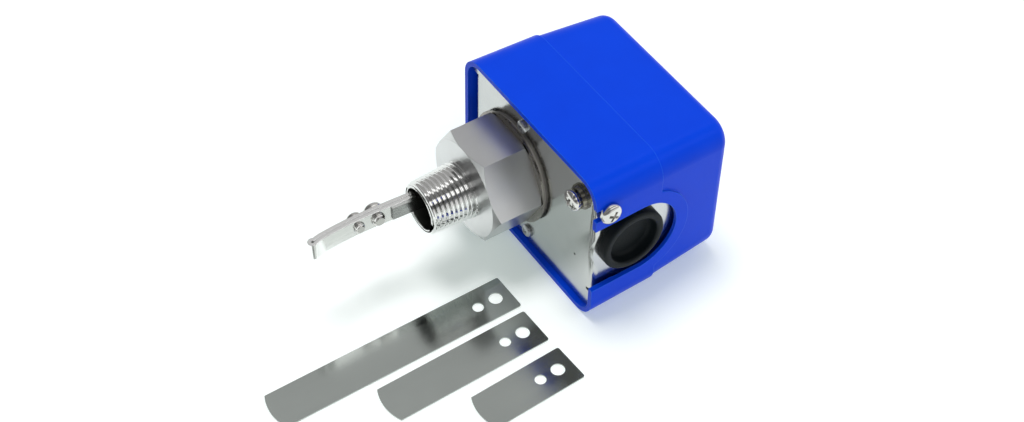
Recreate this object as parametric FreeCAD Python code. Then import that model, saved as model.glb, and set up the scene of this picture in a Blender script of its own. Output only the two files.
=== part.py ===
import FreeCAD, Part
import math
import os

# Paddle flow switch, lying on one long side of its cover, millimetres.
# +X runs along the pipe thread from the pipe into the box, +Y points away from the cable
# entry, +Z is up. The origin is on the thread axis, at the gauge plane of the pipe thread.

V = FreeCAD.Vector
X_AXIS, Y_AXIS, Z_AXIS = V(1, 0, 0), V(0, 1, 0), V(0, 0, 1)

# ---------------------------------------------------------------- driving sizes
# clearances
screw_gap = 0.1            # between a screw and the hole that it passes or is tapped into
cover_gap = 0.4            # between the cover's walls and the base plate's edge
flange_gap = 1.2           # between the cover's walls and the base plate's flanges
seat_gap = 0.05            # round a piece that is fixed in a bore or on a rod
run_gap = 0.06             # shaft in its bearing
touch_gap = 0.1            # between parts that push on each other
head_gap = 0.05            # under the heads of the screws that let the cover slide off

# how the solids are made
margin = 1.0               # how far a cutting shape stands out past what it cuts
same_place = 1e-4          # two places closer than this count as one
head_round = 0.55          # share of a pan head's height that is rounded
groove_share = 0.7         # radius of a clip's groove, as a share of its shaft's radius
mouth_share = 0.62         # half the width of a clip's mouth, as a share of its shaft's radius

# body fitting: R 1/2 thread, hexagon and spigot in one turned piece
thread_r = 10.4775         # crest radius at the gauge plane
gauge_length = 8.16        # from the thread's free end to the gauge plane
thread_length = 15.8
thread_chamfer = 0.9
shank_r = 10.7
shank_length = 2.96
hex_flats = 38.0
hex_thickness = 19.4
hex_turn = -1.0            # degrees from a flat that faces up
hex_chamfer_angle = 30.0
hex_back_chamfer = 1.5     # how far the back chamfer's circle lies outside the flats
bore_r = 8.15
spigot_r = 11.0
spigot_past_nut = 0.7

# washer plate, gasket and lock nut
disc_r = 21.8
disc_thickness = 0.8
gasket_r = 20.6
gasket_thickness = 1.2
lock_nut_r = 15.5
lock_nut_thickness = 4.5
lock_nut_slot = 4.0
lock_nut_slot_depth = 2.5

# cover
box_length = 82.8          # along Y, at the rim
box_width = 67.0           # along Z, at the rim
box_depth = 59.0           # along X
box_offset = -11.8         # from the thread axis to the middle of the box, along Y
rim_behind_hexagon = 0.0   # from the hexagon's back face to the rim
wall = 2.0
corner_r = 9.3
front_section = 28.2       # depth of the front section, up to the step
front_draft = 0.6          # how much each side comes in over the front section
step_in = 0.55
rear_draft = 1.9           # how much each side comes in over the rear section
back_edge_r = 4.4

# cable entry
entry_x = 17.1             # behind the rim
entry_z = 0.2
entry_hole_r = 11.1
slot_r = 15.7              # half the width of the slot in the cover's end wall
slot_z = -1.2              # middle of the slot
slot_end_x = 20.4          # behind the rim, to the middle of the slot's round end
pad_r = 20.8               # flat pad round the slot's end
grommet_lip_r = 13.5
grommet_lip = 2.6
grommet_inner_lip = 1.8
grommet_inner_lip_r = 12.2
grommet_dish_r = 9.4
grommet_membrane = 0.9
grommet_edge = 0.6         # how far the edges of the outer lip are cut back
grommet_taper = 1.0        # how far the inner lip and the dish narrow

# base plate
sheet = 1.5
end_flange_low_inset = 12.6    # from the box's low side to the flange that holds the grommet
end_flange_high_inset = 6.5
end_flange_r = 18.4            # round top of that flange
end_flange_depth = 10.5        # of its wide part
far_flange_inset = 8.7
far_flange_depth = 20.0
relief_width = 1.2
relief_length = 2.8
bend_r = 1.2               # inside radius of the bends in sheet steel
pilot_hole_r = 0.5
pilot_hole_inset_y = 13.8      # from the box's end wall
pilot_hole_inset_z = 22.6      # from its low side

# screws: shank radius, head radius, head height
m5 = (2.5, 4.1, 3.0)
m4 = (2.0, 3.3, 2.5)
m3 = (1.5, 2.75, 1.9)
cover_screw = (2.0, 4.5, 3.0)
earth_screw = (2.0, 4.0, 2.6)
cover_screw_x = 5.3        # behind the rim
cover_screw_inset = 11.7   # from the box's high side to the screw beside the cable entry
far_screw_inset = 16.5     # from the box's low side to the screw in the other end wall
cover_screw_length = 6.0
cover_screw_slot = 5.4     # width of the slot that it passes in the cover
earth_screw_inset_y = 11.6     # from the box's end wall
earth_screw_inset_z = 12.2     # from its high side
earth_screw_length = 10.5
earth_flat_r = 4.8
earth_flat = 0.8           # thickness of the flat washer
earth_cup = 1.3            # height of the cup washer
earth_cup_wall = 0.5
earth_spring_r = 3.7
earth_spring = 1.0         # thickness of the spring washer
earth_spring_split = 0.8
earth_spring_turn = 25.0   # degrees, the slope of its split
plate_screw_places = ((-5.6, 24.4), (-10.3, -25.6))
plate_screw_length = 6.0

# mechanism frame
cheek_half = 19.0          # from the middle to the outside of each cheek
frame_half_y = 20.0
ear_half_z = 29.0
ear_width = 13.0
ear_y = -8.0
low_cheek_past_pivot = 9.6
metal_round_hole = 3.2     # from a switch hole's middle to the edge of the cheek
neck_step = 1.0            # from the high cheek's bend to its wide part
bridge_past_nut = 1.0      # how much wider the bridge is than the range nut
pivot_height = 9.5         # of the pivot above the back of the base plate
pivot_r = 1.5
pivot_clip_r = 3.2
pivot_clip_thickness = 0.7
pin_past_clip = 1.2
pin_wall = 1.0             # metal left round the pivot pin

# lever, blade and carrier outside
rest_tilt = -3.0           # degrees, from the middle of the travel to the rest stop
block_length = 9.0
block_width = 8.0
block_height = 10.0
block_corner_r = 1.2
rod_r = 2.0
blade_width = 5.5
blade_thickness = 0.9
blade_reach = 60.3         # from the pivot to the blade's square end
blade_in_rod = 8.0
rod_reach = 41.0           # from the pivot to the rod's free end
carrier_width = 7.3
carrier_thickness = 1.35
carrier_slit = 0.15        # between the two layers
carrier_start = 50.4       # from the pivot to the carrier's open end
carrier_straight = 14.6
carrier_bend_r = 150.0
carrier_bend_length = 22.6
carrier_tip_r = 13.0
carrier_tip_length = 4.4
carrier_fold_r = 1.8       # outside radius of the fold, which stands a little proud of the layers
big_hole_from_end = 6.05   # from a paddle's square end to its big hole
small_hole_from_end = 13.65
paddle_behind_blade = 0.6  # how far a clamped paddle's square end reaches over the blade's end
screw_past_carrier = 1.8   # how far the clamp screws stand out in front

# bellows seal
bellows_r = 6.7
bellows_inner_r = 4.6
bellows_wall = 0.45
bellows_folds = 6
bellows_length = 15.0
bellows_end = 10.5         # from the pivot to the bellows' fixed end
seal_cap_r = 5.4
seal_cap_thickness = 1.2
seal_cap_gap = 0.5
seal_ring_thickness = 2.0

# rocker: bent strip on the inner end of the lever
rocker_width = 10.0
rocker_thickness = 1.5
rocker_start = 1.0         # from the pivot to the strip's lower end
rocker_reach = 24.0        # from the pivot to the middle of the tab's bend
rocker_tab_hole_r = 3.7
striker_from_pivot = 19.0
striker_nut_r = 2.9
striker_nut_thickness = 1.8
striker_past_nut = 1.5

# snap switch
switch_length = 27.8
switch_height = 15.9
switch_thickness = 10.3
switch_start = 5.0         # from the pivot to the switch's near end
switch_face_y = -9.6
switch_hole_pitch = 22.2
switch_hole_inset = 2.8
switch_hole_r = 1.6
switch_corner_r = 1.0
leaf_thickness = 0.4
leaf_width = 4.0
leaf_hinge_from_end = 2.2
leaf_pin_r = 0.6
leaf_ear_gap = 0.6         # from the leaf's side to the ear that holds its pin
leaf_ear_thickness = 1.2
leaf_ear_half = 1.5
leaf_ear_past_pin = 0.6
leaf_ear_root = 1.0        # how far the ear is sunk into the case
leaf_length = 19.5
plunger_r = 1.4
plunger_from_hinge = 6.5
plunger_rise = 2.0
plunger_depth = 3.0        # of the plunger's stem inside the case
plunger_room = 1.5         # free room under it
plunger_crown = 0.55       # height of its tapered crown
plunger_crown_r = 0.85
terminal_width = 6.3
terminal_thickness = 1.0
terminal_length = 7.5
terminal_places = (3.6, 13.0, 23.0)
terminal_screw_length = 4.5
spacer_r = 2.9
switch_nut_r = 2.7
switch_nut_thickness = 2.4
switch_screw_past_nut = 0.6

# range adjustment
range_y = 14.0
bridge_from_pivot = 32.0
range_head_r = 3.5
range_head_height = 2.4
range_head_edge = 0.5
range_slot_width = 1.0
range_slot_depth = 1.1
range_clip_r = 4.0
range_screw_reach = 32.6   # from the head's seat to the screw's free end
range_nut_from_pivot = 5.0
range_nut_thickness = 3.0
range_nut_width = 9.0
range_guide_width = 4.0
range_guide_past_cheek = 0.8
range_travel = 2.1         # either way from rest
range_stop_gap = 1.0       # from the nut at the end of its travel to the end of its slot
range_nut_gap = 0.4        # from the nut's side to the cheek
spring_r = 5.2
spring_wire_r = 0.45
spring_turns = 6
spring_points_per_turn = 8

# spare paddles: length, then the place and turn of the square end's far corner
paddle_width = 15.7
paddle_thickness = 0.5
paddle_tip_r = 18.0
paddle_corner_r = 0.8
paddle_big_hole_r = 2.6
paddle_small_hole_r = 2.1
spare_paddles = (
    ("spare_paddle_long", 98.9, (-16.7, -18.2), 0.8),
    ("spare_paddle_medium", 64.2, (-17.3, -36.6), 1.6),
    ("spare_paddle_short", 39.6, (-16.3, -57.0), 2.9),
)

# ---------------------------------------------------------------- derived places
thread_end_x = -gauge_length
thread_stop_x = thread_end_x + thread_length
hex_front_x = thread_stop_x + shank_length
hex_back_x = hex_front_x + hex_thickness
rim_x = hex_back_x + rim_behind_hexagon
disc_x = hex_back_x
gasket_x = disc_x + disc_thickness
plate_front_x = gasket_x + gasket_thickness
plate_back_x = plate_front_x + sheet
frame_back_x = plate_back_x + sheet
nut_back_x = frame_back_x + lock_nut_thickness
spigot_end_x = nut_back_x + spigot_past_nut
pivot_x = plate_back_x + pivot_height
bridge_x = pivot_x + bridge_from_pivot

low_y = box_offset - box_length / 2
high_y = box_offset + box_length / 2
half_z = box_width / 2
end_flange_y = low_y + wall + flange_gap
far_flange_y = high_y - wall - flange_gap
plate_half_y = box_length / 2 - wall - cover_gap
plate_half_z = half_z - wall - cover_gap
plate_corner_r = corner_r - wall - cover_gap
entry_centre_x = rim_x + entry_x
slot_centre_x = rim_x + slot_end_x
cover_screw_centre_x = rim_x + cover_screw_x
cheek_inner = cheek_half - sheet
bend = bend_r + sheet

end_flange_low_z = end_flange_low_inset - half_z
end_flange_high_z = half_z - end_flange_high_inset
far_flange_half = half_z - far_flange_inset
pilot_hole_y = low_y + pilot_hole_inset_y
pilot_hole_z = pilot_hole_inset_z - half_z
cover_screw_z = half_z - cover_screw_inset
far_screw_z = far_screw_inset - half_z
earth_screw_y = low_y + earth_screw_inset_y
earth_screw_z = half_z - earth_screw_inset_z
earth_stack = earth_flat + earth_cup + earth_spring

carrier_mid = blade_thickness / 2 + carrier_thickness + carrier_slit / 2
carrier_outside = carrier_mid + carrier_thickness + carrier_slit / 2

switch_x0 = pivot_x + switch_start
switch_back_y = switch_face_y - switch_height
switch_hole_x = (switch_x0 + switch_hole_inset, switch_x0 + switch_hole_inset + switch_hole_pitch)
switch_hole_y = (switch_face_y - switch_hole_inset, switch_back_y + switch_hole_inset)
switch_hole_places = tuple(zip(switch_hole_x, switch_hole_y))
striker_x = pivot_x + striker_from_pivot
leaf_hinge_x = switch_x0 + leaf_hinge_from_end
leaf_top_y = switch_face_y + plunger_rise + leaf_thickness + touch_gap
leaf_mid_y = leaf_top_y - leaf_thickness / 2

range_seat_x = bridge_x + sheet + touch_gap
range_clip_x = bridge_x - touch_gap - pivot_clip_thickness
range_nut_x = pivot_x + range_nut_from_pivot

os.makedirs("parts", exist_ok=True)


# ---------------------------------------------------------------- helpers
def save(name, shape):
    shape.exportStep("parts/" + name + ".step")


def box(x0, x1, y0, y1, z0, z1):
    return Part.makeBox(x1 - x0, y1 - y0, z1 - z0, V(x0, y0, z0))


def rod(start, direction, radius, length):
    return Part.makeCylinder(radius, length, start, direction)


def ring(start, direction, outer_r, inner_r, length):
    hole = rod(start - direction * length, direction, inner_r, 3 * length)
    return rod(start, direction, outer_r, length).cut(hole)


def drill(start, direction, radius, depth):
    """Rod for cutting a hole right through something that is as thick as the depth."""
    return rod(start - direction * margin, direction, radius, depth + 2 * margin)


def prism(points, direction):
    """Straight-sided profile swept along a vector."""
    return Part.Face(Part.makePolygon(points + [points[0]])).extrude(direction)


def revolve(points, centre, axis):
    face = Part.Face(Part.makePolygon(points + [points[0]]))
    return face.revolve(centre, axis, 360)


def rounded_rectangle(x, mid_y, half_y, half_width_z, radius):
    """Closed wire in a plane across X."""
    edges = []
    corners = ((1, 1), (-1, 1), (-1, -1), (1, -1))
    arcs = []
    for number, (side_y, side_z) in enumerate(corners):
        cy = mid_y + side_y * (half_y - radius)
        cz = side_z * (half_width_z - radius)
        points = []
        for step in range(3):
            angle = math.pi / 2 * (number + step / 2)
            points.append(V(x, cy + radius * math.cos(angle), cz + radius * math.sin(angle)))
        arcs.append(points)
    for number, points in enumerate(arcs):
        edges.append(Part.Arc(*points).toShape())
        edges.append(Part.LineSegment(points[2], arcs[(number + 1) % 4][0]).toShape())
    return Part.Wire(edges)


def tapered_block(x0, x1, half_y, half_width_z, radius, inset):
    front = rounded_rectangle(x0, box_offset, half_y, half_width_z, radius)
    back = rounded_rectangle(x1, box_offset, half_y - inset, half_width_z - inset, radius)
    return Part.makeLoft([front, back], True, True)


def bent_strip(start, heading, runs, low, high, z0, z1):
    """Strip in the XY plane whose sides lie at two offsets from a line of straight runs and arcs.

    Each run is (length, radius): radius 0 is straight, and a positive radius turns left.
    """
    place, angle = V(start), math.radians(heading)
    sides = {low: [], high: []}
    for length, radius in runs:
        for offset in (low, high):
            normal = V(-math.sin(angle), math.cos(angle), 0)
            first = place + normal * offset
            if radius == 0:
                last = first + V(math.cos(angle), math.sin(angle), 0) * length
                edge = Part.LineSegment(first, last).toShape()
            else:
                centre = place + normal * radius
                points = []
                for share in (0, 0.5, 1):
                    turn = angle + share * length / radius
                    points.append(centre - V(-math.sin(turn), math.cos(turn), 0) * (radius - offset))
                edge = Part.Arc(*points).toShape()
            sides[offset].append(edge)
        if radius == 0:
            place = place + V(math.cos(angle), math.sin(angle), 0) * length
        else:
            turn = angle + length / radius
            centre = place + V(-math.sin(angle), math.cos(angle), 0) * radius
            place = centre - V(-math.sin(turn), math.cos(turn), 0) * radius
            angle = turn
    closing_start = Part.LineSegment(sides[low][0].Vertexes[0].Point, sides[high][0].Vertexes[0].Point)
    closing_end = Part.LineSegment(sides[low][-1].Vertexes[-1].Point, sides[high][-1].Vertexes[-1].Point)
    edges = sides[low] + [closing_end.toShape()] + sides[high] + [closing_start.toShape()]
    face = Part.Face(Part.Wire(Part.__sortEdges__(edges)))
    face.translate(V(0, 0, z0))
    return face.extrude(V(0, 0, z1 - z0)), place, angle


def pan_screw(seat, direction, size, length):
    """Pan head screw: seat is under the head, direction is the way the shank goes."""
    radius, head_r, head_height = size
    head = rod(seat - direction * head_height, direction, head_r, head_height)
    outer = [edge for edge in head.Edges if is_ring_at(edge, seat - direction * head_height)]
    head = head.makeFillet(head_height * head_round, outer)
    return head.fuse(rod(seat, direction, radius, length)).removeSplitter()


def is_ring_at(edge, centre):
    return isinstance(edge.Curve, Part.Circle) and (edge.Curve.Center - centre).Length < same_place


def upright_edges(shape, height):
    return [edge for edge in shape.Edges if edge.BoundBox.ZLength > height - same_place]


def hex_nut(seat, direction, corner_r, hole_r, thickness):
    """Nut whose axis lies across X, from its seat outward; one corner points along X."""
    sideways = direction.cross(X_AXIS)
    points = []
    for side in range(6):
        angle = math.radians(60 * side)
        points.append(seat + X_AXIS * (corner_r * math.cos(angle)) + sideways * (corner_r * math.sin(angle)))
    return prism(points, direction * thickness).cut(drill(seat, direction, hole_r, thickness))


def about_pivot(shape):
    """Turns a part of the lever from the middle of its travel to the rest stop."""
    turned = shape.copy()
    turned.rotate(V(pivot_x, 0, 0), Z_AXIS, rest_tilt)
    return turned


def group(shapes):
    return Part.makeCompound(shapes)


# ---------------------------------------------------------------- body fitting
def hexagon(flats, x0, x1, turn):
    corner = flats / math.sqrt(3)
    points = []
    for side in range(6):
        angle = math.radians(30 + turn + 60 * side)
        points.append(V(x0, -corner * math.sin(angle), corner * math.cos(angle)))
    return prism(points, V(x1 - x0, 0, 0))


def chamfer_cone(flat_x, inward, circle_r, outer_r):
    """Region kept by a turned chamfer on a hexagon's corners, from its flat face inward."""
    run = (outer_r - circle_r) * math.tan(math.radians(hex_chamfer_angle))
    far = flat_x + inward * hex_thickness
    profile = [V(flat_x, 0, 0), V(flat_x, circle_r, 0), V(flat_x + inward * run, outer_r, 0),
               V(far, outer_r, 0), V(far, 0, 0)]
    return revolve(profile, V(flat_x, 0, 0), X_AXIS)


def make_body_fitting():
    outside_r = hex_flats / math.sqrt(3) + margin
    flats = hexagon(hex_flats, hex_front_x, hex_back_x, hex_turn)
    flats = flats.common(chamfer_cone(hex_front_x, 1, hex_flats / 2, outside_r))
    back_circle = hex_flats / 2 + hex_back_chamfer
    flats = flats.common(chamfer_cone(hex_back_x, -1, back_circle, outside_r))
    chamfered_r = thread_r - thread_chamfer
    turned = revolve([V(thread_end_x, 0, 0), V(thread_end_x, chamfered_r, 0),
                      V(thread_end_x + thread_chamfer, thread_r, 0), V(thread_stop_x, thread_r, 0),
                      V(thread_stop_x, shank_r, 0), V(hex_front_x, shank_r, 0),
                      V(hex_front_x, 0, 0)], V(0, 0, 0), X_AXIS)
    spigot = rod(V(hex_back_x, 0, 0), X_AXIS, spigot_r, spigot_end_x - hex_back_x)
    bore = drill(V(thread_end_x, 0, 0), X_AXIS, bore_r, spigot_end_x - thread_end_x)
    return flats.fuse([turned, spigot]).cut(bore).removeSplitter()


def make_lock_nut():
    nut = ring(V(frame_back_x, 0, 0), X_AXIS, lock_nut_r, spigot_r + screw_gap, lock_nut_thickness)
    for quarter in range(4):
        cut = box(frame_back_x - margin, nut_back_x + margin, lock_nut_r - lock_nut_slot_depth,
                  lock_nut_r + margin, -lock_nut_slot / 2, lock_nut_slot / 2)
        cut.rotate(V(0, 0, 0), X_AXIS, 45 + 90 * quarter)
        nut = nut.cut(cut)
    return nut


# ---------------------------------------------------------------- cover
def cover_form(inset, back):
    """Two tapered sections with a step between them, rounded at the back."""
    half_y = box_length / 2 - inset
    half_width = half_z - inset
    front_end = rim_x + front_section
    front = tapered_block(rim_x, front_end, half_y, half_width, corner_r - inset, front_draft)
    if inset:
        lead = rounded_rectangle(rim_x - margin, box_offset, half_y, half_width, corner_r - inset)
        front = front.fuse(Part.Face(lead).extrude(V(margin, 0, 0)))
    rear_in = front_draft + step_in
    rear = tapered_block(front_end, back, half_y - rear_in, half_width - rear_in,
                         corner_r - inset - step_in, rear_draft)
    rim_edges = [edge for edge in rear.Edges
                 if edge.BoundBox.XMin > back - same_place]
    rear = rear.makeFillet(back_edge_r - inset, rim_edges)
    return front.fuse(rear).removeSplitter()


def slot_cut(radius, centre_x, centre_z, y0, y1):
    """Slot across an end wall, open at the rim and round at its far end."""
    straight = box(rim_x - margin, centre_x, y0, y1, centre_z - radius, centre_z + radius)
    return straight.fuse(rod(V(centre_x, y0, centre_z), Y_AXIS, radius, y1 - y0))


def make_cover():
    outside = cover_form(0, rim_x + box_depth)
    pad = rod(V(slot_centre_x, low_y + front_draft, slot_z), Y_AXIS, pad_r, wall + rear_draft)
    outside = outside.fuse(pad)
    inside = cover_form(wall, rim_x + box_depth - wall)
    pocket = rod(V(slot_centre_x, low_y + wall, slot_z), Y_AXIS, pad_r - wall, wall + rear_draft)
    inside = inside.fuse(pocket)
    cover = outside.cut(inside)
    cover = cover.cut(slot_cut(slot_r, slot_centre_x, slot_z, low_y - margin, low_y + 2 * wall))
    half = cover_screw_slot / 2
    near = slot_cut(half, cover_screw_centre_x, cover_screw_z, low_y - margin, low_y + 2 * wall)
    far = slot_cut(half, cover_screw_centre_x, far_screw_z, high_y - 2 * wall, high_y + margin)
    return cover.cut(near).cut(far).removeSplitter()


# ---------------------------------------------------------------- base plate
def across(first, second, x0, x1, z0, z1):
    """Box between two places along Y, given in either order."""
    return box(x0, x1, min(first, second), max(first, second), z0, z1)


def bend_quarter(centre_x, centre_y, z0, z1, side_x, side_y):
    """Quarter of a tube along Z: the bend between a flange and its plate."""
    tube = ring(V(centre_x, centre_y, z0), Z_AXIS, bend, bend_r, z1 - z0)
    x0, x1 = sorted((centre_x, centre_x + side_x * bend))
    return tube.common(across(centre_y, centre_y + side_y * bend, x0, x1, z0, z1))


def make_base_plate():
    outline = rounded_rectangle(plate_front_x, box_offset, plate_half_y, plate_half_z, plate_corner_r)
    plate = Part.Face(outline).extrude(V(sheet, 0, 0))
    x0, x1 = plate_front_x - margin, plate_back_x + margin
    ends = ((end_flange_y, 1, end_flange_low_z, end_flange_high_z),
            (far_flange_y, -1, -far_flange_half, far_flange_half))
    for y, inward, z0, z1 in ends:
        outside = y - 2 * inward * flange_gap
        plate = plate.cut(across(outside, y + inward * bend, x0, x1, z0, z1))
        for low, high in ((z0 - relief_width, z0), (z1, z1 + relief_width)):
            plate = plate.cut(across(outside, y + inward * relief_length, x0, x1, low, high))
        plate = plate.fuse(bend_quarter(plate_front_x + bend, y + inward * bend, z0, z1, -1, -inward))
    near_y = end_flange_y + sheet
    near = box(plate_front_x + bend, plate_front_x + end_flange_depth, end_flange_y, near_y,
               end_flange_low_z, end_flange_high_z)
    neck = box(plate_front_x + bend, slot_centre_x, end_flange_y, near_y,
               slot_z - end_flange_r, slot_z + end_flange_r)
    top = rod(V(slot_centre_x, end_flange_y, slot_z), Y_AXIS, end_flange_r, sheet)
    far = box(plate_front_x + bend, plate_front_x + far_flange_depth, far_flange_y - sheet,
              far_flange_y, -far_flange_half, far_flange_half)
    plate = plate.fuse([near, neck, top, far])
    holes = [drill(V(plate_front_x, 0, 0), X_AXIS, spigot_r + screw_gap, sheet),
             drill(V(plate_front_x, pilot_hole_y, pilot_hole_z), X_AXIS, pilot_hole_r, sheet),
             drill(V(plate_front_x, earth_screw_y, earth_screw_z), X_AXIS, earth_screw[0] + screw_gap, sheet),
             drill(V(entry_centre_x, end_flange_y, entry_z), Y_AXIS, entry_hole_r, sheet),
             drill(V(cover_screw_centre_x, end_flange_y, cover_screw_z), Y_AXIS,
                   cover_screw[0] + screw_gap, bend),
             drill(V(cover_screw_centre_x, far_flange_y, far_screw_z), -Y_AXIS,
                   cover_screw[0] + screw_gap, bend)]
    for y, z in plate_screw_places:
        holes.append(drill(V(plate_front_x, y, z), X_AXIS, m3[0] + screw_gap, sheet))
    for hole in holes:
        plate = plate.cut(hole)
    return plate.removeSplitter()


def make_grommet():
    lip_y = end_flange_y - grommet_lip
    inner_y = end_flange_y + sheet
    groove_r = entry_hole_r - seat_gap
    dish_y = inner_y - grommet_membrane
    points = [V(0, lip_y + grommet_edge, grommet_lip_r), V(0, end_flange_y, grommet_lip_r),
              V(0, end_flange_y, groove_r), V(0, inner_y, groove_r), V(0, inner_y, grommet_inner_lip_r),
              V(0, inner_y + grommet_inner_lip, grommet_inner_lip_r - grommet_taper),
              V(0, inner_y + grommet_inner_lip, grommet_dish_r), V(0, inner_y, grommet_dish_r),
              V(0, inner_y, 0), V(0, dish_y, 0), V(0, dish_y, grommet_dish_r - grommet_taper),
              V(0, lip_y + grommet_edge, grommet_dish_r), V(0, lip_y, grommet_dish_r + grommet_edge),
              V(0, lip_y, grommet_lip_r - grommet_edge)]
    shape = revolve(points, V(0, 0, 0), Y_AXIS)
    shape.translate(V(entry_centre_x, 0, entry_z))
    return shape


# ---------------------------------------------------------------- screws outside
def make_cover_screws():
    near_seat = V(cover_screw_centre_x, low_y - head_gap, cover_screw_z)
    far_seat = V(cover_screw_centre_x, high_y + head_gap, far_screw_z)
    return group([pan_screw(near_seat, Y_AXIS, cover_screw, cover_screw_length),
                  pan_screw(far_seat, -Y_AXIS, cover_screw, cover_screw_length)])


def earth_ring(distance, outer_r, thickness):
    start = V(plate_front_x - distance - thickness, earth_screw_y, earth_screw_z)
    return ring(start, X_AXIS, outer_r, earth_screw[0] + screw_gap, thickness)


def make_cup_washer():
    x1 = plate_front_x - earth_flat
    x0 = x1 - earth_cup
    inner = earth_screw[0] + screw_gap
    top_r = earth_screw[1]
    points = [V(x0, inner, 0), V(x0, top_r, 0), V(x1, top_r + earth_cup_wall, 0), V(x1, top_r, 0),
              V(x0 + earth_cup_wall, top_r - earth_cup_wall, 0), V(x0 + earth_cup_wall, inner, 0)]
    shape = revolve(points, V(0, 0, 0), X_AXIS)
    shape.translate(V(0, earth_screw_y, earth_screw_z))
    return shape


def make_spring_washer():
    washer = earth_ring(earth_flat + earth_cup, earth_spring_r, earth_spring)
    middle = plate_front_x - earth_flat - earth_cup - earth_spring / 2
    cut = box(middle - earth_spring, middle + earth_spring, -earth_spring_split / 2,
              earth_spring_split / 2, 0, 2 * earth_spring_r)
    cut.rotate(V(middle, 0, 0), Z_AXIS, earth_spring_turn)
    cut.translate(V(0, earth_screw_y, earth_screw_z))
    return washer.cut(cut)


def make_earth_screw():
    seat = V(plate_front_x - earth_stack, earth_screw_y, earth_screw_z)
    return pan_screw(seat, X_AXIS, earth_screw, earth_screw_length)


def make_plate_screws():
    shapes = []
    for y, z in plate_screw_places:
        shapes.append(pan_screw(V(plate_front_x, y, z), X_AXIS, m3, plate_screw_length))
    return group(shapes)


# ---------------------------------------------------------------- mechanism frame
def cheek_outline(points, z):
    placed = [V(x, y, z) for x, y in points]
    return prism(placed, V(0, 0, sheet))


def frame_fold(centre_x, centre_z, y0, y1, side_x, side_z):
    """Quarter of a tube along Y: a bend in the mechanism frame."""
    tube = ring(V(centre_x, y0, centre_z), Y_AXIS, bend, bend_r, y1 - y0)
    x0, x1 = sorted((centre_x, centre_x + side_x * bend))
    z0, z1 = sorted((centre_z, centre_z + side_z * bend))
    return tube.common(box(x0, x1, y0, y1, z0, z1))


def frame_holes():
    holes = [drill(V(plate_back_x, 0, 0), X_AXIS, spigot_r + screw_gap, sheet),
             drill(V(pivot_x, 0, -cheek_half), Z_AXIS, pivot_r + run_gap, 2 * cheek_half),
             drill(V(bridge_x, range_y, 0), X_AXIS, m4[0] + run_gap, sheet)]
    for y, z in plate_screw_places:
        holes.append(drill(V(plate_back_x, y, z), X_AXIS, m3[0] + screw_gap, sheet))
    for x, y in switch_hole_places:
        holes.append(drill(V(x, y, cheek_inner), Z_AXIS, m3[0] + screw_gap, sheet))
    half = range_guide_width / 2 + run_gap
    reach = range_travel + range_stop_gap
    holes.append(box(range_nut_x - reach, range_nut_x + range_nut_thickness + reach, range_y - half,
                     range_y + half, cheek_inner - margin, cheek_half + margin))
    return holes


def make_mechanism_frame():
    """Base with two ears and two cheeks folded up; the high cheek carries the switch and the bridge."""
    fold_x = plate_back_x + bend
    fold_y = ear_y + ear_width / 2 + relief_width
    fold_z = cheek_half - bend
    frame = box(plate_back_x, frame_back_x, -frame_half_y, frame_half_y, -fold_z, fold_z)
    ears = box(plate_back_x, frame_back_x, ear_y - ear_width / 2, ear_y + ear_width / 2,
               -ear_half_z, ear_half_z)
    neck_x = fold_x + neck_step
    neck_y = fold_y - 2 * relief_width
    shelf_x = switch_x0 - metal_round_hole
    shelf_y = min(switch_hole_y) - metal_round_hole
    top_x = bridge_x - bend_r
    high = [(fold_x, fold_y), (fold_x, frame_half_y), (top_x, frame_half_y), (top_x, shelf_y),
            (shelf_x, shelf_y), (shelf_x, neck_y), (neck_x, neck_y), (neck_x, fold_y)]
    low_top_x = pivot_x + low_cheek_past_pivot
    low = [(fold_x, fold_y), (fold_x, frame_half_y), (low_top_x, frame_half_y), (low_top_x, fold_y)]
    bridge_y = range_y - range_nut_width / 2 - bridge_past_nut
    bridge = box(bridge_x, bridge_x + sheet, bridge_y, frame_half_y, -range_nut_width, fold_z)
    frame = frame.fuse([ears, bridge, cheek_outline(high, cheek_inner), cheek_outline(low, -cheek_half),
                        frame_fold(fold_x, fold_z, fold_y, frame_half_y, -1, 1),
                        frame_fold(fold_x, -fold_z, fold_y, frame_half_y, -1, -1),
                        frame_fold(top_x, fold_z, bridge_y, frame_half_y, 1, 1)])
    for hole in frame_holes():
        frame = frame.cut(hole)
    return frame.removeSplitter()


def make_pivot_pin():
    length = 2 * (cheek_half + pivot_clip_thickness + pin_past_clip)
    pin = rod(V(pivot_x, 0, -length / 2), Z_AXIS, pivot_r, length)
    for side in (1, -1):
        groove = V(pivot_x, 0, side * (cheek_half + touch_gap))
        pin = pin.cut(ring(groove, Z_AXIS * side, pivot_r + margin, pivot_r * groove_share,
                           pivot_clip_thickness))
    return pin


def e_clip(centre, direction, shaft_r, outer_r, thickness):
    """Open clip that sits in a shaft's groove; it opens toward +Y."""
    clip = ring(centre, direction, outer_r, shaft_r * groove_share, thickness)
    half = direction.cross(Y_AXIS) * (shaft_r * mouth_share)
    far = direction * thickness
    mouth = prism([centre - half, centre + half, centre + half + far, centre - half + far],
                  Y_AXIS * (2 * outer_r))
    return clip.cut(mouth)


def make_pivot_clips():
    upper = e_clip(V(pivot_x, 0, cheek_half + touch_gap), Z_AXIS, pivot_r, pivot_clip_r,
                   pivot_clip_thickness)
    lower = e_clip(V(pivot_x, 0, -cheek_half - touch_gap), -Z_AXIS, pivot_r, pivot_clip_r,
                   pivot_clip_thickness)
    return group([upper, lower])


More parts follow.
